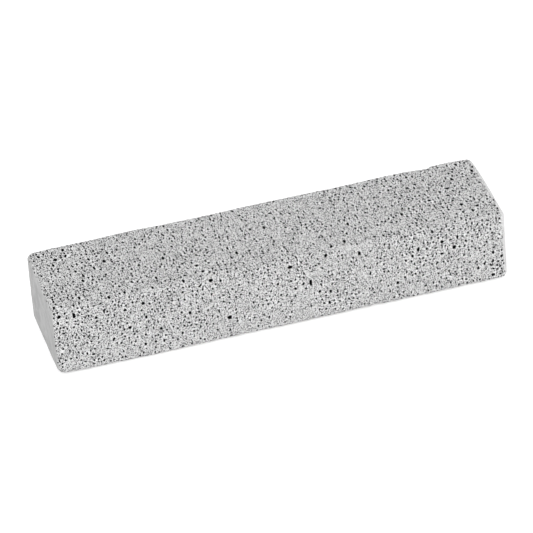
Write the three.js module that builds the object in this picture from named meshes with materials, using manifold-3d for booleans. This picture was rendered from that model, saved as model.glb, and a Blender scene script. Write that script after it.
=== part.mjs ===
// A scouring stick of grey pumice: one block of fine-celled stone, with its edges rubbed round
// and the mouths of its largest cells open on the faces.
// Millimetres, +Z up. The origin is the middle of the base, and X runs along the stick.
import * as THREE from "three";
import { RoundedBoxGeometry } from "three/addons/geometries/RoundedBoxGeometry.js";
import { mergeVertices } from "three/addons/utils/BufferGeometryUtils.js";
import Module from "manifold-3d";

const LENGTH = 150;
const WIDTH = 36;
const HEIGHT = 25.4;
const EDGE_RADIUS = 1.6;
const EDGE_STEPS = 4;

// A cell is a ball, cut open a little above its middle, so that its mouth is narrower than the ball.
const CELL_WIDENING = 1.12;
const CELL_SIDES = 12;
const CELL_RINGS = 8;

// The largest cells, as [distance along X, distance across the face, mouth diameter].
// Across is Y on the top, and height above the base on the two sides.
const TOP_CELLS = [
  [-67, 10, 1.4],
  [-52.5, 3.5, 1.3],
  [-25.5, -10, 1.1],
  [4.5, 10, 1.1],
  [50, 7.5, 1.1],
  [54.5, -2, 1.1],
  [62, 2.5, 1.2],
  [63.5, -8, 1.2],
  [65, 7, 1.2],
  [68, -10.5, 1.1],
];
const FRONT_CELLS = [
  [-68, 22, 1.3],
  [-50.5, 13, 1.1],
  [-45.5, 21, 1.1],
  [-18, 8.5, 1.3],
  [3, 22.5, 1.2],
  [9, 15, 1.4],
  [26, 22, 1.2],
  [45.5, 18.5, 1.1],
  [53.5, 19.5, 1.1],
  [57.5, 16.5, 1.3],
  [70, 2.5, 1.1],
];
const BACK_CELL_COUNT = 10;
const BACK_CELL_DIAMETERS = [1.1, 1.3, 1.2];
const GOLDEN_SHARE = 0.618034;

const wasm = await Module();
wasm.setup();

// A closed three.js geometry as a manifold-3d solid.
function solidFrom(geometry) {
  const bare = geometry.clone();
  bare.deleteAttribute("normal");
  bare.deleteAttribute("uv");
  const merged = mergeVertices(bare, 1e-4);
  return new wasm.Manifold(
    new wasm.Mesh({
      numProp: 3,
      vertProperties: new Float32Array(merged.attributes.position.array),
      triVerts: new Uint32Array(merged.index.array),
    }),
  );
}

// A manifold-3d solid as a three.js geometry with flat-shaded normals.
function geometryFrom(solid) {
  const mesh = solid.getMesh();
  const geometry = new THREE.BufferGeometry();
  geometry.setAttribute("position", new THREE.BufferAttribute(mesh.vertProperties, mesh.numProp));
  geometry.setIndex(new THREE.BufferAttribute(mesh.triVerts, 1));
  const faceted = geometry.toNonIndexed();
  faceted.computeVertexNormals();
  return faceted;
}

// The block stands on Z = 0, with every edge and corner rounded by the same radius.
function blockSolid() {
  const block = new RoundedBoxGeometry(LENGTH, WIDTH, HEIGHT, EDGE_STEPS, EDGE_RADIUS);
  block.translate(0, 0, HEIGHT / 2);
  return solidFrom(block);
}

// The ball of one cell. Its middle lies below the face by as much as makes its mouth that wide.
function cellSolid(mouth, inward, diameter) {
  const radius = (diameter / 2) * CELL_WIDENING;
  const depth = Math.sqrt(radius ** 2 - (diameter / 2) ** 2);
  const ball = new THREE.SphereGeometry(radius, CELL_SIDES, CELL_RINGS);
  const middle = mouth.clone().addScaledVector(inward, depth);
  ball.translate(middle.x, middle.y, middle.z);
  return solidFrom(ball);
}

// The back is finished as the front is. Golden-ratio steps spread its cells with no two in line.
function backCells() {
  const span = LENGTH - 12 * EDGE_RADIUS;
  const rise = HEIGHT - 6 * EDGE_RADIUS;
  return Array.from({ length: BACK_CELL_COUNT }, (_, i) => [
    span * ((i + 0.5) / BACK_CELL_COUNT - 0.5),
    HEIGHT / 2 + rise * (((i * GOLDEN_SHARE) % 1) - 0.5),
    BACK_CELL_DIAMETERS[i % BACK_CELL_DIAMETERS.length],
  ]);
}

function stoneSolid() {
  const down = new THREE.Vector3(0, 0, -1);
  const back = new THREE.Vector3(0, 1, 0);
  const front = new THREE.Vector3(0, -1, 0);
  const cells = [
    ...TOP_CELLS.map(([x, y, d]) => cellSolid(new THREE.Vector3(x, y, HEIGHT), down, d)),
    ...FRONT_CELLS.map(([x, z, d]) => cellSolid(new THREE.Vector3(x, -WIDTH / 2, z), back, d)),
    ...backCells().map(([x, z, d]) => cellSolid(new THREE.Vector3(x, WIDTH / 2, z), front, d)),
  ];
  return cells.reduce((stone, cell) => stone.subtract(cell), blockSolid());
}

const pumice = new THREE.MeshStandardMaterial({ color: 0xb9b9b8, roughness: 0.95, metalness: 0 });

const stone = new THREE.Mesh(geometryFrom(stoneSolid()), pumice);
stone.name = "pumice_stone";

const stick = new THREE.Group();
stick.add(stone);

export default stick;
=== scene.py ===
"""A scouring stick of grey pumice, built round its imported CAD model, with the studio it lies in.

The stone is one closed surface. A lattice is laid over the six faces of the block, its edges are
rubbed round, and the mouths of the cells that the saw cut open are sunk into it.
Lengths are in metres unless a name ends in _MM.
"""

import itertools
import math

import bpy
import numpy as np
from mathutils import Matrix, Vector


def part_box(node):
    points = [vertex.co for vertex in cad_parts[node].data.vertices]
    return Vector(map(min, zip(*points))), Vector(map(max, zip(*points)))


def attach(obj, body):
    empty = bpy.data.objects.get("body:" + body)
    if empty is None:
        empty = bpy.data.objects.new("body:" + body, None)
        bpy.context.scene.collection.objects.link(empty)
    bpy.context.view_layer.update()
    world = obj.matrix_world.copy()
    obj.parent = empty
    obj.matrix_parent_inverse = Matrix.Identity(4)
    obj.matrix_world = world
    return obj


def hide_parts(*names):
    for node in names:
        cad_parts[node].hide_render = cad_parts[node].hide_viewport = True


bl_info = {
    "name": "Pumice Stick",
    "version": (1, 0, 0),
    "blender": (4, 5, 0),
    "location": "View3D > Sidebar > Pumice",
    "description": "Builds a cut pumice scouring stick and the studio it lies in",
    "category": "Add Mesh",
}

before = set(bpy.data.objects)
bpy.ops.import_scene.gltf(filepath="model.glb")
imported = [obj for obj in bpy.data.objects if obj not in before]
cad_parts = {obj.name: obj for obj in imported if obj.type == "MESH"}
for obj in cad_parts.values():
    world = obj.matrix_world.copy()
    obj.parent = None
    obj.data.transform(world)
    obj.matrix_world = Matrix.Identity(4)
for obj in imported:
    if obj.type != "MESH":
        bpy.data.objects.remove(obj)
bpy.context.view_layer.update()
STONE_LOW, STONE_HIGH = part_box("pumice_stone")

MM = 0.001
SEED = 13

# Each face: the axis that it faces along, which way, and the two axes of its lattice.
FACES = {
    "top": (2, 1, 0, 1),
    "base": (2, -1, 0, 1),
    "front": (1, -1, 0, 2),
    "back": (1, 1, 0, 2),
    "left_end": (0, -1, 1, 2),
    "right_end": (0, 1, 1, 2),
}

# The largest cells, as (along the stick, across the face, mouth diameter, times as long across as
# along), the first three in millimetres. Across is Y on the top, and height above the base on the sides.
LARGEST_CELLS_MM = {
    "top": [
        (-67, 10, 1.4, 1), (-56.9, 6.4, 1, 1.6), (-52.5, 3.5, 1.3, 1.6), (-25.5, -10, 1.1, 1),
        (4.5, 10, 1.1, 1), (32, -15.5, 1, 1), (50, 7.5, 1.1, 1), (54.5, -2, 1.1, 1),
        (61, -1.5, 1, 0.7), (62, 2.5, 1.2, 0.7), (62.7, -12.4, 1, 1.4), (63.5, -8, 1.2, 1),
        (65, 7, 1.2, 1.5), (68, -10.5, 1.1, 1),
    ],
    "front": [
        (-72.8, 22.8, 1.2, 1.2), (-68, 22, 1.4, 2.2), (-61, 19.5, 1, 1), (-51.5, 20, 1, 1),
        (-50.5, 13, 1.1, 1), (-45.5, 21, 1.1, 1), (-40.5, 10, 1, 1), (-23, 24.1, 1.3, 1),
        (-18, 8.5, 1.4, 1), (3, 22.5, 1.3, 1), (9.4, 15, 1.5, 2.8), (15, 24, 1.1, 1.4), (18, 9.5, 0.9, 2.6),
        (26, 22, 1.2, 1.5), (38, 7.5, 1, 1.2), (45.5, 18.5, 1.2, 2), (53.5, 19.5, 1.1, 1),
        (57.5, 16.5, 1.3, 1), (70, 2.5, 1.1, 1),
    ],
}

# The back's largest cells are spread by a rule, as the CAD's are. These are how much of the face's length
# and height is kept clear of them, their mouth diameters in turn, both in millimetres, and how many
# times as long across as along each of the ten is.
BACK_CLEAR_MM = (19.2, 9.6)
BACK_MOUTHS_MM = (1.1, 1.3, 1.2)
BACK_STRETCH = (1, 1.8, 1, 1, 1, 1.4, 1, 2, 1, 1)
GOLDEN_SHARE = 0.618034

# Corners and edges that are rubbed more or less than the rest, as (which way they lie along X, Y
# and Z, where 0 is the middle, the radius they are rubbed to and how far it reaches, in millimetres).
WEAR_MM = [
    ((1, 0, 1), 0.8, 16), ((1, -1, -0.2), 2.0, 9), ((-1, 1, 1), 2.1, 7), ((-1, -1, -1), 2.6, 7),
    ((1, -1, 1), 1.0, 5), ((1, -1, -1), 1.8, 7), ((1, 1, 1), 2.2, 5),
]

# Chips in the edges along X, as (start and end along X, which way the edge lies along Y and Z,
# depth, reach), in millimetres.
CHIPS_MM = [(52.5, 60.2, (1, 1), 0.55, 3.5), (-21, -18, (1, -1), 0.4, 2.5), (33, 29, (-1, -1), 0.35, 2.0)]

# Rings of a cell from its mouth to its bottom, as (share of the mouth's radius, share of the depth).
SMALL_CELL_RINGS = [(1.0, 0.0), (0.0, 1.0)]
LARGE_CELL_RINGS = [(1.0, 0.0), (0.95, 0.62), (0.0, 1.0)]

# Rounds of scattered cells, as (how often each is done, the chance of a cell where they lie thickest,
# lattice steps kept clear round those already open, rings, least and most radius of a mouth in
# millimetres, and the spread of the radii's logarithms).
SCATTERED_MM = [
    (2, 0.5, 2, LARGE_CELL_RINGS, 0.4, 0.6, 0.25),
    (3, 0.9, 1, SMALL_CELL_RINGS, 0.2, 0.46, 0.35),
]

# Light on the walls just inside a mouth makes it look smaller, so the largest cells are drawn wider.
LARGEST_WIDENING = 1.12

# Depths of the cells, in radii of their mouths: the largest ones, and the least and most of the rest.
LARGEST_DEPTH = 2.2
SCATTERED_DEPTHS = (1.3, 2.4)

# Shares of its radius that a mouth swells and shrinks by: at most, twice round it, which makes it oval,
# and always, three times round it, which makes it irregular.
LARGEST_OVAL = 0.15
SCATTERED_OVAL = 0.4
THREE_SIDED = 0.08

CELL_SHIFT = 0.4  # how far a scattered cell may lie from its lattice point, in steps
CELL_LEAN = 0.22  # how far the bottom of a cell drifts, in radii of its mouth
RIM_REACH = 0.45  # how far a rim may leave its square of lattice points, in steps
LOOSENESS = 0.28  # how far a point between the cells moves, in steps
SHARP_ANGLE = math.radians(48)  # edges sharper than this, such as rims, are not shaded smooth

# The foam rose along Y and was held back along X, so its cells are this long along X, Y and Z,
# for one that is 1 long in foam at rest.
FOAM_STRETCH = (0.8, 1.5, 1.05)

# Turns about X, Y and Z that keep the rows of the material's cell patterns off the cut faces.
FOAM_TURN = (0.5, 0.35, 0.6)

CHART_GAP = 3  # lattice steps left empty between two faces on the UV map

# How thickly the cells lie, from 0 to 1: everywhere, how much more at the left end, 60 mm right of the
# middle and at the top of the front and back, and the share of it that the top and base have.
DENSITY = 0.34
DENSER_LEFT = 0.28
DENSER_RIGHT = 0.18
DENSER_UP = 0.15
TOP_SHARE = 0.7

# The material's small cells, in spacings: the least radius of a ball, how much larger the largest is, how far
# its edge is blurred and how wide the painted highlight on its rim is.
BALL_RADIUS = 0.18
BALL_SPREAD = 0.26
BALL_BLUR = 0.05
BALL_RIM = 0.12

# A finest cell is wholly painted dark, as shade, up to the first of these distances from its middle, in
# spacings, and its wall starts at the second.
FINEST_DARK = 0.3
FINEST_EDGE = 0.5

# The most paleness, from 0 to 1: a painted highlight on the rims of the cells, and dust on the walls and on
# worn edges.
RIM_HIGHLIGHT = 0.9
WALL_DUST = 0.5
WORN_DUST = 0.4

DUST_GRAIN = 0.35 * MM
SKIN_CLOUD = 4 * MM
CLOUDED = 0.35  # the most that dust hides of the skin's colour
RELIEF = 0.12 * MM  # how deep the material's cells look


def linear(hex_colour):
    """The linear red, green and blue of an sRGB hex colour: each channel through the sRGB curve."""
    channels = [int(hex_colour[i : i + 2], 16) / 255 for i in (0, 2, 4)]
    return tuple(c / 12.92 if c <= 0.04045 else ((c + 0.055) / 1.055) ** 2.4 for c in channels)


def smooth_noise(points, size, seed):
    """Noise from -1 to 1 whose bumps are about size across. Each corner of the cube of that size
    round a point picks a random number from a table, by its three whole numbers times three large
    primes, and the eight are blended by nearness, on a smooth step."""
    table = np.random.default_rng(seed).uniform(-1, 1, 4096)
    low = np.floor(points / size).astype(np.int64)
    part = points / size - low
    part = part * part * (3 - 2 * part)
    total = np.zeros(points.shape[:-1])
    for corner in itertools.product((0, 1), repeat=3):
        x, y, z = np.moveaxis(low + corner, -1, 0)
        drawn = table[(x * 73856093 ^ y * 19349663 ^ z * 83492791) % len(table)]
        total += drawn * np.prod(np.where(corner, part, 1 - part), axis=-1)
    return total


def smooth_step(low, high, value):
    """0 below low and 1 above high, with a curve that leaves and arrives level between them."""
    share = np.clip((value - low) / (high - low), 0, 1)
    return share * share * (3 - 2 * share)


def rubbed_round(sharp, half, radius):
    """A point of the sharp block, moved onto the block with rubbed edges, and its outward direction.
    It is clamped into the inner block, which is smaller by the radius, and then lies one radius
    from there, along the line to where it was."""
    inner = np.clip(sharp, radius - half, half - radius)
    outward = sharp - inner
    outward /= np.linalg.norm(outward, axis=-1, keepdims=True)
    return inner + outward * radius, outward


def near(values, reach):
    """The largest value within reach steps of each lattice point, either way along both axes. Of a
    mask, that is whether any point there is marked."""
    windows = np.lib.stride_tricks.sliding_window_view(np.pad(values, reach), (2 * reach + 1,) * 2)
    return windows.max((2, 3))


def scattered(rng, free, share, reach):
    """Lattice points more than reach steps apart: each free point draws a number, the highest within
    reach wins, and then each winner stays with the chance that share gives it."""
    drawn = rng.random(free.shape) * free
    return (drawn > 0) & (drawn == near(drawn, reach)) & (rng.random(free.shape) < share)


class PumiceShape(bpy.types.PropertyGroup):
    """Sizes of the stone and of the cells that show on it."""

    grid_step: bpy.props.FloatProperty(
        name="Lattice step",
        description="Distance between the lattice points that carry the surface",
        default=0.452 * MM, min=0.2 * MM, unit="LENGTH", subtype="DISTANCE",
    )
    edge_radius: bpy.props.FloatProperty(
        name="Edge radius",
        description="How far the edges are rubbed round",
        default=1.6 * MM, min=0.2 * MM, unit="LENGTH", subtype="DISTANCE",
    )
    waviness: bpy.props.FloatProperty(
        name="Waviness",
        description="How far the cut faces sink in their slow hollows",
        default=0.16 * MM, min=0, unit="LENGTH", subtype="DISTANCE",
    )
    grain: bpy.props.FloatProperty(
        name="Grain",
        description="Depth of the shallowest cells",
        default=0.26 * MM, min=0, unit="LENGTH", subtype="DISTANCE",
    )
    mouth: bpy.props.FloatProperty(
        name="Cell mouth",
        description="Middle diameter of the scattered cells' mouths",
        default=0.95 * MM, min=0.1 * MM, unit="LENGTH", subtype="DISTANCE",
    )


class PumiceFinish(bpy.types.PropertyGroup):
    """Cells too small for the mesh, and colours of the cut stone, with painted shade in the cells and on the
    ends and a painted highlight on the rims of the cells.
    """

    small_spacing: bpy.props.FloatProperty(
        name="Small cell spacing",
        description="Distance between the middles of neighbouring small cells",
        default=1.0 * MM, min=0.2 * MM, unit="LENGTH", subtype="DISTANCE",
    )
    finest_spacing: bpy.props.FloatProperty(
        name="Finest cell spacing",
        description="Distance between the middles of neighbouring finest cells",
        default=0.4 * MM, min=0.1 * MM, unit="LENGTH", subtype="DISTANCE",
    )
    cut: bpy.props.FloatVectorProperty(
        name="Cut glass foam",
        description="Colour of the sawn cell walls",
        default=linear("C7C7C7"), size=3, min=0, max=1, subtype="COLOR",
    )
    # Pale colour for dust on the walls and worn edges, which also makes the painted highlight on the rims of
    # the cells.
    dust_and_highlight: bpy.props.FloatVectorProperty(
        name="Dust",
        description="Colour of the ground dust on rims and edges",
        default=linear("E2E2E2"), size=3, min=0, max=1, subtype="COLOR",
    )
    # Partly painted shade: the skin's own grey, made darker to stand in for the shade on the end faces.
    skin: bpy.props.FloatVectorProperty(
        name="Skin",
        description="Colour of the smooth skin on the two ends",
        default=linear("9A9A9A"), size=3, min=0, max=1, subtype="COLOR",
    )
    # Painted shade: dark for the insides of the finest cells.
    finest_cell_shade: bpy.props.FloatVectorProperty(
        name="Shallow cells",
        description="Colour inside the finest and shallowest cells",
        default=linear("1D1D1F"), size=3, min=0, max=1, subtype="COLOR",
    )
    # Painted shade: near-black for the insides of the deep cells, standing in for the shade in them.
    hollow: bpy.props.FloatVectorProperty(
        name="Hollow",
        description="Colour inside the deep cells, where no dust lies",
        default=linear("09090A"), size=3, min=0, max=1, subtype="COLOR",
    )


class PumiceStudio(bpy.types.PropertyGroup):
    """The floor, lights and camera."""

    floor: bpy.props.FloatVectorProperty(
        name="Floor",
        description="Colour of the table top",
        default=linear("F0F0F0"), size=3, min=0, max=1, subtype="COLOR",
    )
    floor_reach: bpy.props.FloatProperty(
        name="Floor reach",
        description="How far the table top reaches each way",
        default=6.0, min=0.1, unit="LENGTH", subtype="DISTANCE",
    )
    floor_glow: bpy.props.FloatProperty(
        name="Floor glow",
        description="Light that comes up through the table top",
        default=0.3, min=0,
    )
    sky: bpy.props.FloatProperty(
        name="Sky",
        description="Strength of the even light from all round",
        default=1.0, min=0,
    )
    key_power: bpy.props.FloatProperty(
        name="Key power",
        description="Power of the large soft box beside the camera",
        default=5.3, min=0, unit="POWER",
    )
    key_size: bpy.props.FloatVectorProperty(
        name="Key size",
        description="Width and height of the soft box",
        default=(0.6, 0.5), size=2, min=0, unit="LENGTH",
    )
    key_place: bpy.props.FloatVectorProperty(
        name="Key place",
        description="Where the soft box stands, facing the middle of the stick's base",
        default=(-0.38, -1.0, 1.0), size=3, unit="LENGTH", subtype="TRANSLATION",
    )
    azimuth: bpy.props.FloatProperty(
        name="Azimuth",
        description="Camera's turn round the stick, from square on to its front",
        default=math.radians(-12.943), unit="ROTATION", subtype="ANGLE",
    )
    elevation: bpy.props.FloatProperty(
        name="Elevation",
        description="Camera's height above the table, as an angle",
        default=math.radians(34.296), unit="ROTATION", subtype="ANGLE",
    )
    roll: bpy.props.FloatProperty(
        name="Roll",
        description="Camera's turn about its own line of sight",
        default=math.radians(-4.964), unit="ROTATION", subtype="ANGLE",
    )
    distance: bpy.props.FloatProperty(
        name="Distance",
        description="From the middle of the stick's base to the camera",
        default=1.532, min=0.1, unit="LENGTH", subtype="DISTANCE",
    )
    aim: bpy.props.FloatVectorProperty(
        name="Aim",
        description="How far right and up of the middle of the base the camera aims",
        default=(-1.33 * MM, 9.93 * MM), size=2, unit="LENGTH",
    )
    lens: bpy.props.FloatProperty(
        name="Lens",
        description="Focal length in millimetres, on a 36 mm sensor",
        default=320.0, min=10, unit="CAMERA",
    )


def add_node(tree, kind, settings=(), values=(), links=()):
    """Adds a node to the tree, with its settings, the values of its inputs and the links to them."""
    node = tree.nodes.new(kind)
    for name, value in dict(settings).items():
        setattr(node, name, value)
    for name, value in dict(values).items():
        node.inputs[name].default_value = value
    for name, source in dict(links).items():
        tree.links.new(source, node.inputs[name])
    return node


# ---- the stone -------------------------------------------------------------------------------


def cell_density(sharp, half):
    """How thickly the cells lie, from 0 to 1. There are more towards the left end and round a place
    60 mm right of the middle, on bell curves 22 and 18 mm wide. There are more near the top of the
    front and back, where the foam rose more, and fewer on the top and base, which the saw left
    smoother. Patches of noise 9 and 3 mm across are added."""
    x, z = sharp[..., 0], sharp[..., 2] / half[2]
    left = np.exp(-(((x + half[0]) / (22 * MM)) ** 2))
    right = np.exp(-(((x - 60 * MM) / (18 * MM)) ** 2))
    sawn = np.isclose(np.abs(z), 1)
    patches = 0.18 * smooth_noise(sharp, 9 * MM, SEED + 1) + 0.28 * smooth_noise(sharp, 3 * MM, SEED + 6)
    upwards = np.where(sawn, 0, DENSER_UP * z)
    density = DENSITY + DENSER_LEFT * left + DENSER_RIGHT * right + upwards + patches
    return np.clip(density * np.where(sawn, TOP_SHARE, 1), 0.02, 1)


def chips(sharp, half):
    """How deep the edges are chipped at each point. A chip deepens steadily along X, ends at a step,
    and runs out to nothing at its reach from the edge line."""
    sunk = np.zeros(sharp.shape[:-1])
    for start, end, (way_y, way_z), depth, reach in CHIPS_MM:
        along = (sharp[..., 0] / MM - start) / (end - start)
        away = np.hypot(sharp[..., 1] - way_y * half[1], sharp[..., 2] - way_z * half[2]) / MM
        sunk += np.where((along > 0) & (along < 1), along, 0) * depth * MM * (1 - smooth_step(0, reach, away))
    return sunk


def skin_cover(sharp, half):
    """How far the smooth skin of the two ends covers a point: whole on the end faces, and gone on a
    line about 1 mm inside their outline, ragged by 0.7 mm either way. Distance outwards
    past the outline counts as less than 0."""
    room = half - np.abs(sharp)
    past_outline = np.minimum(room[..., 1], room[..., 2]) - room[..., 0]
    ragged = smooth_noise(sharp, 2 * MM, SEED + 2) * 0.7 * MM
    return smooth_step(0.4 * MM, 1.4 * MM, past_outline + ragged)


def end_wear(sharp, half):
    """How far a point is rubbed smooth at the right end: whole there, and gone on a line about 1.5 mm
    from it, ragged by 0.5 mm either way."""
    ragged = smooth_noise(sharp, 2 * MM, SEED + 8) * 0.5 * MM
    return 1 - smooth_step(0.4 * MM, 1.9 * MM, half[0] - sharp[..., 0] + ragged)


def edge_radius(sharp, half, radius):
    """The radius that the edges are rubbed to at each point: it wavers by up to 0.28 of itself over
    14 mm, and near a place of more or less wear goes over to that place's own radius, on a bell curve
    as wide as its reach."""
    radius = radius * (1 + 0.28 * smooth_noise(sharp, 14 * MM, SEED + 3))
    for way, worn, reach in WEAR_MM:
        away = np.linalg.norm(sharp - np.array(way) * half, axis=-1)
        radius += (worn * MM - radius) * np.exp(-((away / (reach * MM)) ** 2))
    return radius[..., None]


def cell_rings(rng, radii, depths, rings, most_oval):
    """Lattice steps from each cell's middle to its lattice points, their places from there in the face,
    their depths and the shares of the cell's depth that those are, all cells at once.

    A point's ring is its larger step from the cell's middle, and its angle is that of its step. The
    ring's radius swells twice round the mouth, which makes it oval, and three times, a little,
    which makes it irregular. Each ring's middle drifts with depth, because cells lean."""
    reach = len(rings) - 1
    steps = np.arange(-reach, reach + 1)
    du, dv = np.meshgrid(steps, steps, indexing="ij")
    ring = reach - np.maximum(np.abs(du), np.abs(dv))
    share, sunk = (np.array(column)[ring] for column in zip(*rings, strict=True))
    angle = np.arctan2(dv, du)
    turn, phase = rng.uniform(0, 2 * np.pi, (2, len(radii), 1, 1))
    oval = most_oval * rng.random((len(radii), 1, 1)) ** 2
    swell = 1 + oval * np.cos(2 * (angle - turn)) + THREE_SIDED * np.cos(3 * angle - phase)
    away = radii[:, None, None] * share * swell
    lean = rng.normal(0, CELL_LEAN, (2, len(radii), 1, 1)) * radii[:, None, None] * sunk
    flat = np.stack([away * np.cos(angle) + lean[0], away * np.sin(angle) + lean[1]], axis=-1)
    return du, dv, flat, depths[:, None, None] * sunk, np.broadcast_to(sunk, away.shape)


def back_cells():
    """The back's largest cells, as rows like those of LARGEST_CELLS_MM, to a tenth of a millimetre. They
    are evenly spaced along the stick. Each is higher than the last by a golden share of the height
    that is not kept clear, and past its top starts again from the bottom, so that no two are in line."""
    length, _, height = (np.array(STONE_HIGH) - np.array(STONE_LOW)) / MM
    turn = np.arange(len(BACK_STRETCH))
    along = (length - BACK_CLEAR_MM[0]) * ((turn + 0.5) / len(turn) - 0.5)
    across = height / 2 + (height - BACK_CLEAR_MM[1]) * (turn * GOLDEN_SHARE % 1 - 0.5)
    mouths = np.resize(BACK_MOUTHS_MM, len(turn))
    return np.column_stack([along.round(1), across.round(1), mouths, BACK_STRETCH])


class Face:
    """One face's lattice: the sharp block's points, how deep each is sunk, and what is open there."""

    def __init__(self, rng, name, counts, half):
        self.name = name
        self.axis, self.side, self.u, self.v = FACES[name]
        self.rng = rng
        self.half = half
        index = np.meshgrid(np.arange(counts[self.u] + 1), np.arange(counts[self.v] + 1), indexing="ij")
        self.lattice = np.zeros(index[0].shape + (3,), np.int64)
        self.lattice[..., self.u], self.lattice[..., self.v] = index
        self.lattice[..., self.axis] = counts[self.axis] * (self.side > 0)
        self.step = 2 * half / counts
        self.sharp = self.lattice * self.step - half
        self.sunk = np.zeros(index[0].shape)
        self.cell = np.zeros(index[0].shape)
        self.rim = np.zeros(index[0].shape)
        self.held = np.zeros(index[0].shape, bool)
        # Half of the squares, at random, are split along their other diagonal.
        self.crossed = rng.random((counts[self.u], counts[self.v])) < 0.5

    def inside(self, margin):
        """Lattice points at least margin steps from the face's outline."""
        mask = np.zeros(self.sunk.shape, bool)
        mask[margin:-margin, margin:-margin] = True
        return mask

    def open_cells(self, at, centres, radii, depths, rings, most_oval, stretch):
        """Sinks one cell round each lattice point in at, lengthened by stretch along the face's two
        axes, and turns the diagonals there outwards. A rim is held within RIM_REACH of the square of
        lattice points that it takes up, and the next rim's square is a step away, so no two cross."""
        du, dv, away, sunk, share = cell_rings(self.rng, radii, depths, rings, most_oval)
        steps = self.step[[self.u, self.v]]
        taken = (at * steps - self.half[[self.u, self.v]])[:, None, None, :]
        most = (len(rings) - 1 + RIM_REACH) * steps
        flat = centres[:, None, None, :] + away * stretch[:, None, None, :]
        flat = np.clip(flat, taken - most, taken + most)
        i = at[:, 0, None, None] + du
        j = at[:, 1, None, None] + dv
        self.sharp[i, j, self.u] = flat[..., 0]
        self.sharp[i, j, self.v] = flat[..., 1]
        self.sunk[i, j] = sunk
        self.cell[i, j] = share
        self.rim[i, j] = share == 0
        self.held[i, j] = True
        reach = len(rings)
        squares = np.arange(-reach, reach)
        qu, qv = np.meshgrid(squares, squares, indexing="ij")
        radial = (qu + 0.5) * (qv + 0.5) < 0
        a = np.clip(at[:, 0, None, None] + qu, 0, self.crossed.shape[0] - 1)
        b = np.clip(at[:, 1, None, None] + qv, 0, self.crossed.shape[1] - 1)
        self.crossed[a, b] = radial

    def open_largest(self):
        """The listed cells and the back's, each on the lattice point nearest to its middle. A cell that is
        n times as long across as along is the root of n longer, and as much narrower, than a round one
        of its diameter."""
        if self.name == "back":
            listed = back_cells()
        else:
            listed = np.array(LARGEST_CELLS_MM.get(self.name, np.empty((0, 4))), float)
        centres = listed[:, :2] * MM
        if self.v == 2:
            centres[:, 1] -= self.half[2]
        steps = self.step[[self.u, self.v]]
        at = np.round((centres + self.half[[self.u, self.v]]) / steps).astype(int)
        radii = listed[:, 2] * MM * LARGEST_WIDENING / 2
        stretch = np.stack([listed[:, 3] ** -0.5, listed[:, 3] ** 0.5], axis=-1)
        self.open_cells(at, centres, radii, radii * LARGEST_DEPTH, LARGE_CELL_RINGS, LARGEST_OVAL, stretch)

    def open_scattered(self, shape, share, clear, rings, low, high, spread):
        """Cells at random lattice points, clear of those already open. The mouths' radii are spread
        on a bell curve of their logarithms, held between low and high."""
        margin = len(rings)
        free = self.inside(margin) & ~near(self.held, clear)
        # Cells whose middles are more than this many steps apart share no lattice point.
        width = 2 * (len(rings) - 1)
        at = np.argwhere(scattered(self.rng, free, share, width))
        steps = self.step[[self.u, self.v]]
        shift = self.rng.uniform(-CELL_SHIFT, CELL_SHIFT, (len(at), 2)) * steps
        centres = at * steps - self.half[[self.u, self.v]] + shift
        radii = shape.mouth / 2 * np.exp(self.rng.normal(0, spread, len(at)))
        radii = np.clip(radii, low, high)
        depths = radii * self.rng.uniform(*SCATTERED_DEPTHS, len(at))
        stretch = np.array([FOAM_STRETCH])[:, [self.u, self.v]]
        self.open_cells(at, centres, radii, depths, rings, SCATTERED_OVAL, stretch)

    def roughen(self, shape):
        """Every point left over moves a little in the face. Where there is no skin, some sink as the
        shallowest cells, no two of them neighbours, by 0.2 to 1 of the grain, and the rest are uneven
        by up to 0.2 of it."""
        loose = self.inside(1) & ~self.held
        move = self.rng.uniform(-LOOSENESS, LOOSENESS, (2, *loose.shape)) * loose
        self.sharp[..., self.u] += move[0] * self.step[self.u]
        self.sharp[..., self.v] += move[1] * self.step[self.v]
        bare = 1 - skin_cover(self.sharp, self.half)
        pit = scattered(self.rng, loose, 0.8 * bare, 1) * self.rng.uniform(0.2, 1, loose.shape)
        uneven = self.rng.uniform(0, 0.2, loose.shape) * loose * bare
        self.sunk += np.maximum(pit, uneven) * shape.grain

    def unfold(self):
        """Where one diagonal would fold a square between the cells over itself, splits it along the
        other. Areas are counted as below 0 for a triangle that is turned over, and the diagonal with
        the larger smallest triangle is taken."""
        flat = self.sharp[..., [self.u, self.v]]
        corners = [flat[:-1, :-1], flat[1:, :-1], flat[1:, 1:], flat[:-1, 1:]]

        def area(i, j, k):
            one, two = corners[j] - corners[i], corners[k] - corners[i]
            return one[..., 0] * two[..., 1] - one[..., 1] * two[..., 0]

        straight = np.minimum(area(0, 1, 2), area(0, 2, 3))
        across = np.minimum(area(0, 1, 3), area(1, 2, 3))
        sunk = self.cell > 0
        level = ~(sunk[:-1, :-1] | sunk[1:, :-1] | sunk[1:, 1:] | sunk[:-1, 1:])
        folded = level & (np.minimum(straight, across) < 0)
        self.crossed = np.where(folded, across > straight, self.crossed)

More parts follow.
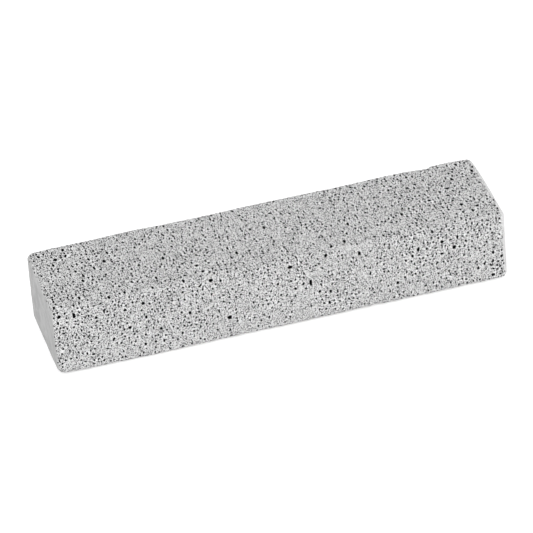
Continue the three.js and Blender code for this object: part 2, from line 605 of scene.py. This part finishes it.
    def surface(self, shape):
        """The face's points on the stone, and how worn each is. They sink by up to the waviness, in
        slow hollows 16 mm across and quicker ones of 4 mm. Wear is 0 on the flat, from 0 to a half on
        the edges, in patches of noise 7 mm long, and 1 at the right end, as far in as its skin."""
        radius = edge_radius(self.sharp, self.half, shape.edge_radius)
        on_edge, outward = rubbed_round(self.sharp, self.half, radius)
        slow = 0.6 * smooth_noise(self.sharp, 16 * MM, SEED + 4)
        quick = 0.4 * smooth_noise(self.sharp, 4 * MM, SEED + 5)
        hollow = shape.waviness * 0.5 * (1 + slow + quick)
        sunk = hollow + chips(self.sharp, self.half) + self.sunk
        points = on_edge - outward * sunk[..., None]
        turned = np.clip((1 - np.abs(outward).max(-1)) / (1 - math.sqrt(0.5)), 0, 1)
        patches = smooth_noise(self.sharp, 7 * MM, SEED + 7)
        on_edges = np.sqrt(turned) * 0.5 * smooth_step(0.1, 0.8, patches)
        at_end = end_wear(self.sharp, self.half) * (1 - skin_cover(self.sharp, self.half))
        return points, np.maximum(on_edges, at_end)

    def triangles(self, ids):
        """Two triangles a square, as vertex numbers and as lattice steps on this face. A square is
        split along one diagonal or, where it is crossed, along the other."""
        n, m = self.crossed.shape
        i, j = np.meshgrid(np.arange(n), np.arange(m), indexing="ij")
        corners = np.stack([np.stack([i + a, j + b], -1) for a, b in ((0, 0), (1, 0), (1, 1), (0, 1))], 2)
        split = np.where(self.crossed[..., None], [0, 1, 3, 1, 2, 3], [0, 1, 2, 0, 2, 3])
        picked = np.take_along_axis(corners, split[..., None], axis=2).reshape(-1, 3, 2)
        # Counter-clockwise in the lattice faces up along Z and X, but down along Y.
        facing = -1 if self.axis == 1 else 1
        if facing != self.side:
            picked = picked[:, ::-1]
        return ids[picked[..., 0], picked[..., 1]], picked


def chart_places(faces):
    """Where each face's lattice starts on the UV map, in lattice steps, and the map's side. The long
    faces lie in rows, one above the other, and the two ends share the last row."""
    places, row = {}, CHART_GAP
    for name in ("top", "base", "front", "back"):
        places[name] = (CHART_GAP, row)
        row += faces[name].sunk.shape[1] + CHART_GAP
    places["left_end"] = (CHART_GAP, row)
    places["right_end"] = (2 * CHART_GAP + faces["left_end"].sunk.shape[0], row)
    height = row + faces["left_end"].sunk.shape[1] + CHART_GAP
    width = faces["top"].sunk.shape[0] + 2 * CHART_GAP
    return places, max(width, height)


def stone_arrays(shape):
    """Vertices, their attributes, triangles and UVs of the whole stone, as numpy arrays."""
    lowest, highest = np.array(STONE_LOW), np.array(STONE_HIGH)
    half = (highest - lowest) / 2
    counts = np.round((highest - lowest) / shape.grid_step).astype(int)
    faces = {
        name: Face(np.random.default_rng((SEED, index)), name, counts, half)
        for index, name in enumerate(FACES)
    }
    keys, points = [], []
    columns = {name: [] for name in ("cell", "rim", "worn", "skin", "swell")}
    for face in faces.values():
        bare = (1 - skin_cover(face.sharp, half)) * (1 - end_wear(face.sharp, half))
        density = cell_density(face.sharp, half) * bare
        face.open_largest()
        for times, chance, clear, rings, low, high, spread in SCATTERED_MM:
            for _ in range(times):
                face.open_scattered(shape, chance * density, clear, rings, low * MM, high * MM, spread)
        face.roughen(shape)
        face.unfold()
        place, worn = face.surface(shape)
        # One number for each lattice point, by which the faces find the points that they share.
        keys.append(face.lattice.reshape(-1, 3) @ [1, 1000, 1000000])
        points.append(place.reshape(-1, 3))
        skin = skin_cover(face.sharp, half)
        # The material's small cells are 0.6 times as wide where cells are rarest, and 1.4 where thickest.
        swell = 0.6 + 0.8 * density
        for name, values in zip(columns, (face.cell, face.rim, worn, skin, swell), strict=True):
            columns[name].append(values.ravel())
    _, first, ids = np.unique(np.concatenate(keys), return_index=True, return_inverse=True)
    vertices = np.concatenate(points)[first] + (lowest + highest) / 2
    attributes = {name: np.concatenate(values)[first] for name, values in columns.items()}
    places, side = chart_places(faces)
    triangles, uvs, start = [], [], 0
    for name, face in faces.items():
        count = face.sunk.size
        corners, steps = face.triangles(ids[start : start + count].reshape(face.sunk.shape))
        start += count
        triangles.append(corners)
        uvs.append((steps + places[name]) / side)
    return vertices, attributes, np.concatenate(triangles), np.concatenate(uvs)


def stone_mesh(shape):
    """The stone as a Blender mesh, smooth except at the rims of its cells."""
    vertices, attributes, triangles, uvs = stone_arrays(shape)
    mesh = bpy.data.meshes.new("pumice_stick")
    mesh.vertices.add(len(vertices))
    mesh.vertices.foreach_set("co", vertices.astype(np.float32).ravel())
    mesh.loops.add(triangles.size)
    mesh.loops.foreach_set("vertex_index", triangles.astype(np.int32).ravel())
    mesh.polygons.add(len(triangles))
    mesh.polygons.foreach_set("loop_start", np.arange(0, triangles.size, 3, dtype=np.int32))
    mesh.update(calc_edges=True)
    for name, values in attributes.items():
        layer = mesh.attributes.new(name, "FLOAT", "POINT")
        layer.data.foreach_set("value", values.astype(np.float32))
    layer = mesh.uv_layers.new(name="OFBake", do_init=False)
    layer.uv.foreach_set("vector", uvs.astype(np.float32).ravel())
    mesh.shade_smooth()
    mesh.set_sharp_from_angle(angle=SHARP_ANGLE)
    return mesh


def cut_pumice(finish):
    """Grey pumice, sawn and rubbed: glass foam with thousands of cells cut open, quite matt.

    The walls between the cells are pale and dry. The cells are painted near-black, as shade, where little
    light gets in and no dust lies. A painted highlight makes the rims of the cells paler, ground dust makes
    the rubbed edges paler, and the ends have a smooth skin, painted a darker grey that also stands in for the
    shade on the end faces."""
    material = bpy.data.materials.new("sawn_grey_pumice")
    material.use_nodes = True
    tree = material.node_tree
    shader = tree.nodes["Principled BSDF"]
    place = add_node(tree, "ShaderNodeTexCoord").outputs["Object"]
    foamed = add_node(
        tree, "ShaderNodeMapping", {},
        {"Scale": [1 / part for part in FOAM_STRETCH], "Rotation": FOAM_TURN}, {"Vector": place},
    ).outputs["Vector"]
    cell, rim, worn, skin, swell = (
        add_node(tree, "ShaderNodeAttribute", {"attribute_name": name}).outputs["Fac"]
        for name in ("cell", "rim", "worn", "skin", "swell")
    )
    # No cells are open under the skin, and dust fills them where an edge is worn.
    closed = add_node(tree, "ShaderNodeMath", {"operation": "MAXIMUM"}, {}, {0: skin, 1: worn}).outputs[0]
    bare = add_node(tree, "ShaderNodeMath", {"operation": "SUBTRACT"}, {0: 1.0}, {1: closed}).outputs[0]

    # Small cells: balls of random sizes, which the cut shows as rounds, and whose insides are painted dark as
    # shade further down.
    balls = add_node(
        tree, "ShaderNodeTexVoronoi", {"voronoi_dimensions": "3D", "feature": "F1"},
        {"Scale": 1 / finish.small_spacing, "Randomness": 1.0}, {"Vector": foamed},
    )
    drawn = add_node(
        tree, "ShaderNodeTexWhiteNoise", {"noise_dimensions": "3D"}, {}, {"Vector": balls.outputs["Color"]}
    ).outputs["Value"]
    ball_radius = add_node(
        tree, "ShaderNodeMath", {"operation": "MULTIPLY_ADD"}, {1: BALL_SPREAD, 2: BALL_RADIUS}, {0: drawn}
    ).outputs[0]
    swollen = add_node(
        tree, "ShaderNodeMath", {"operation": "MULTIPLY"}, {}, {0: ball_radius, 1: swell}
    ).outputs[0]
    past_ball = add_node(
        tree, "ShaderNodeMath", {"operation": "SUBTRACT"}, {}, {0: balls.outputs["Distance"], 1: swollen}
    ).outputs[0]
    ball = add_node(
        tree, "ShaderNodeMapRange", {"interpolation_type": "SMOOTHSTEP"},
        {"From Min": -BALL_BLUR, "From Max": 0.0, "To Min": 1.0, "To Max": 0.0}, {"Value": past_ball},
    ).outputs["Result"]
    clear = add_node(tree, "ShaderNodeMath", {"operation": "SUBTRACT"}, {}, {0: bare, 1: rim}).outputs[0]
    kept = add_node(tree, "ShaderNodeMath", {"operation": "MAXIMUM"}, {1: 0.0}, {0: clear}).outputs[0]
    small_open = add_node(
        tree, "ShaderNodeMath", {"operation": "MULTIPLY"}, {}, {0: ball, 1: kept}
    ).outputs[0]
    ball_rim_highlight = add_node(
        tree, "ShaderNodeMapRange", {"interpolation_type": "SMOOTHSTEP"},
        {"From Min": 0.0, "From Max": BALL_RIM, "To Min": RIM_HIGHLIGHT, "To Max": 0.0}, {"Value": past_ball},
    ).outputs["Result"]

    # The finest cells, painted dark inside as shade. Real ones are 0.05 to 0.2 mm apart. These are drawn
    # coarser, so that they show.
    fine = add_node(
        tree, "ShaderNodeTexVoronoi", {"voronoi_dimensions": "3D", "feature": "F1"},
        {"Scale": 1 / finish.finest_spacing, "Randomness": 1.0}, {"Vector": foamed},
    ).outputs["Distance"]
    fine_round = add_node(
        tree, "ShaderNodeMapRange", {"interpolation_type": "SMOOTHSTEP"},
        {"From Min": FINEST_DARK, "From Max": FINEST_EDGE, "To Min": 1.0, "To Max": 0.0}, {"Value": fine},
    ).outputs["Result"]
    fine_open = add_node(
        tree, "ShaderNodeMath", {"operation": "MULTIPLY"}, {}, {0: fine_round, 1: bare}
    ).outputs[0]

    # A painted highlight on the rims of the cells, and ground glass dust in grains on the walls and all over
    # worn edges. The dust's real grains are under 0.1 mm, and these are drawn coarser, so that they show.
    grains = add_node(
        tree, "ShaderNodeTexNoise", {"noise_dimensions": "3D"},
        {"Scale": 1 / DUST_GRAIN, "Detail": 1.0, "Roughness": 0.6}, {"Vector": foamed},
    ).outputs["Fac"]
    grain_dust = add_node(
        tree, "ShaderNodeMapRange", {"interpolation_type": "SMOOTHSTEP"},
        {"From Min": 0.4, "From Max": 0.62, "To Max": WALL_DUST}, {"Value": grains},
    ).outputs["Result"]
    cell_rim_highlight = add_node(
        tree, "ShaderNodeMath", {"operation": "MULTIPLY"}, {1: RIM_HIGHLIGHT}, {0: rim}
    ).outputs[0]
    rims = add_node(
        tree, "ShaderNodeMath", {"operation": "MAXIMUM"}, {}, {0: cell_rim_highlight, 1: ball_rim_highlight}
    ).outputs[0]
    # The painted rim highlight and the grains of dust together.
    ground = add_node(
        tree, "ShaderNodeMath", {"operation": "MAXIMUM"}, {}, {0: rims, 1: grain_dust}
    ).outputs[0]
    worn_dust = add_node(
        tree, "ShaderNodeMath", {"operation": "MULTIPLY"}, {1: WORN_DUST}, {0: worn}
    ).outputs[0]
    dust_and_highlight_share = add_node(
        tree, "ShaderNodeMath", {"operation": "MAXIMUM"}, {}, {0: ground, 1: worn_dust}
    ).outputs[0]
    walls = add_node(
        tree, "ShaderNodeMix", {"data_type": "RGBA"}, {6: (*finish.cut, 1), 7: (*finish.dust_and_highlight, 1)}, {0: dust_and_highlight_share}
    ).outputs[2]
    speckled = add_node(
        tree, "ShaderNodeMix", {"data_type": "RGBA"}, {7: (*finish.finest_cell_shade, 1)}, {0: fine_open, 6: walls}
    ).outputs[2]

    # The skin, painted a darker grey that also stands in for the shade on the end faces, is cloudy where dust
    # clings to it.
    clouds = add_node(
        tree, "ShaderNodeTexNoise", {"noise_dimensions": "3D"},
        {"Scale": 1 / SKIN_CLOUD, "Detail": 5.0, "Roughness": 0.75}, {"Vector": place},
    ).outputs["Fac"]
    cloudy = add_node(
        tree, "ShaderNodeMapRange", {"interpolation_type": "SMOOTHSTEP"},
        {"From Min": 0.35, "From Max": 0.65, "To Min": 0.0, "To Max": CLOUDED}, {"Value": clouds},
    ).outputs["Result"]
    clouded = add_node(
        tree, "ShaderNodeMix", {"data_type": "RGBA"}, {6: (*finish.skin, 1)}, {0: cloudy, 7: walls}
    ).outputs[2]
    faced = add_node(
        tree, "ShaderNodeMix", {"data_type": "RGBA"}, {}, {0: skin, 6: speckled, 7: clouded}
    ).outputs[2]

    # Painted shade: the mesh's own cells get the near-black hollow colour from just below their rims, and the
    # small ones within their balls, standing in for the shade deep inside them.
    inside = add_node(
        tree, "ShaderNodeMapRange", {"interpolation_type": "SMOOTHSTEP"},
        {"From Min": 0.0, "From Max": 0.06}, {"Value": cell},
    ).outputs["Result"]
    deep = add_node(
        tree, "ShaderNodeMath", {"operation": "MAXIMUM"}, {}, {0: inside, 1: small_open}
    ).outputs[0]
    colour = add_node(
        tree, "ShaderNodeMix", {"data_type": "RGBA"}, {7: (*finish.hollow, 1)}, {0: deep, 6: faced}
    ).outputs[2]

    # The relief: dust stands up, and cells go down.
    sunk = add_node(
        tree, "ShaderNodeMath", {"operation": "ADD"}, {}, {0: fine_open, 1: small_open}
    ).outputs[0]
    height = add_node(
        tree, "ShaderNodeMath", {"operation": "SUBTRACT"}, {}, {0: grains, 1: sunk}
    ).outputs[0]
    bump = add_node(
        tree, "ShaderNodeBump", {}, {"Strength": 0.8, "Distance": RELIEF}, {"Height": height}
    ).outputs["Normal"]
    roughness = add_node(
        tree, "ShaderNodeMapRange", {"interpolation_type": "SMOOTHSTEP"},
        {"From Min": 0.3, "From Max": 0.7, "To Min": 0.86, "To Max": 1.0}, {"Value": grains},
    ).outputs["Result"]
    shader.inputs["Metallic"].default_value = 0.0
    shader.inputs["IOR"].default_value = 1.5
    shader.inputs["Specular IOR Level"].default_value = 0.3
    tree.links.new(colour, shader.inputs["Base Color"])
    tree.links.new(roughness, shader.inputs["Roughness"])
    tree.links.new(bump, shader.inputs["Normal"])
    return material


class PUMICE_OT_stick(bpy.types.Operator):
    """Build the pumice stick, in the place of its CAD solid."""

    bl_idname = "pumice.stick"
    bl_label = "Pumice Stick"

    def execute(self, context):
        scene = context.scene
        stick = bpy.data.objects.new("pumice_stick", stone_mesh(scene.pumice_shape))
        stick.data.materials.append(cut_pumice(scene.pumice_finish))
        scene.collection.objects.link(stick)
        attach(stick, "root")
        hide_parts("pumice_stone")
        return {"FINISHED"}


# ---- the studio ------------------------------------------------------------------------------


def floor_material(studio):
    """A white acrylic light table, matt, which glows a little so that the stick casts hardly any shadow."""
    material = bpy.data.materials.new("white_acrylic_table")
    material.use_nodes = True
    shader = material.node_tree.nodes["Principled BSDF"]
    shader.inputs["Base Color"].default_value = (*studio.floor, 1)
    shader.inputs["Roughness"].default_value = 0.9
    shader.inputs["Specular IOR Level"].default_value = 0.1
    shader.inputs["Emission Color"].default_value = (1, 1, 1, 1)
    shader.inputs["Emission Strength"].default_value = studio.floor_glow
    return material


def camera_axes(studio):
    """Right, up and back of the camera. Back points from the stick to the camera, at the azimuth and
    elevation; right is level before the roll turns right and up about back."""
    azimuth, elevation, roll = studio.azimuth, studio.elevation, studio.roll
    back = Vector((
        math.sin(azimuth) * math.cos(elevation),
        -math.cos(azimuth) * math.cos(elevation),
        math.sin(elevation),
    ))
    right = Vector((0, 0, 1)).cross(back).normalized()
    up = back.cross(right)
    return (
        math.cos(roll) * right + math.sin(roll) * up,
        math.cos(roll) * up - math.sin(roll) * right,
        back,
    )


class PUMICE_OT_studio(bpy.types.Operator):
    """Build the floor, the lights and the camera."""

    bl_idname = "pumice.studio"
    bl_label = "Studio"

    def execute(self, context):
        scene = context.scene
        studio = scene.pumice_studio
        reach = studio.floor_reach
        mesh = bpy.data.meshes.new("floor")
        corners = [(-reach, -reach, 0), (reach, -reach, 0), (reach, reach, 0), (-reach, reach, 0)]
        mesh.from_pydata(corners, [], [(0, 1, 2, 3)])
        mesh.materials.append(floor_material(studio))
        floor = bpy.data.objects.new("floor", mesh)
        scene.collection.objects.link(floor)

        world = bpy.data.worlds.new("studio")
        world.use_nodes = True
        sky = world.node_tree.nodes["Background"]
        sky.inputs["Color"].default_value = (1, 1, 1, 1)
        sky.inputs["Strength"].default_value = studio.sky
        scene.world = world

        key = bpy.data.objects.new("key", bpy.data.lights.new("key", "AREA"))
        key.data.shape = "RECTANGLE"
        key.data.size, key.data.size_y = studio.key_size
        key.data.energy = studio.key_power
        key.location = studio.key_place
        key.rotation_euler = (-Vector(key.location)).to_track_quat("-Z", "Y").to_euler()
        scene.collection.objects.link(key)

        camera = bpy.data.objects.new("camera", bpy.data.cameras.new("camera"))
        camera.data.lens = studio.lens
        camera.data.clip_start, camera.data.clip_end = 0.05, 50
        right, up, back = camera_axes(studio)
        turned = Matrix((right, up, back)).transposed().to_4x4()
        at = back * studio.distance + right * studio.aim[0] + up * studio.aim[1]
        camera.matrix_world = Matrix.Translation(at) @ turned
        scene.collection.objects.link(camera)
        scene.camera = camera

        scene.view_settings.view_transform = "Standard"
        return {"FINISHED"}


class PUMICE_PT_panel(bpy.types.Panel):
    """The stick and its studio, in the sidebar."""

    bl_idname = "PUMICE_PT_panel"
    bl_label = "Pumice Stick"
    bl_space_type = "VIEW_3D"
    bl_region_type = "UI"
    bl_category = "Pumice"

    def draw(self, context):
        for settings, operator in (
            (("pumice_shape", "pumice_finish"), "pumice.stick"),
            (("pumice_studio",), "pumice.studio"),
        ):
            box = self.layout.box()
            for name in settings:
                group = getattr(context.scene, name)
                for prop in group.bl_rna.properties:
                    if prop.identifier not in ("rna_type", "name"):
                        box.prop(group, prop.identifier)
            box.operator(operator)


GROUPS = {
    "pumice_shape": PumiceShape,
    "pumice_finish": PumiceFinish,
    "pumice_studio": PumiceStudio,
}
CLASSES = (*GROUPS.values(), PUMICE_OT_stick, PUMICE_OT_studio, PUMICE_PT_panel)


def register():
    for kind in CLASSES:
        bpy.utils.register_class(kind)
    for name, group in GROUPS.items():
        setattr(bpy.types.Scene, name, bpy.props.PointerProperty(type=group))


def unregister():
    for name in GROUPS:
        delattr(bpy.types.Scene, name)
    for kind in reversed(CLASSES):
        bpy.utils.unregister_class(kind)


def main():
    """Builds the stick and its studio."""
    register()
    bpy.ops.pumice.stick()
    bpy.ops.pumice.studio()


if __name__ == "__main__":
    main()
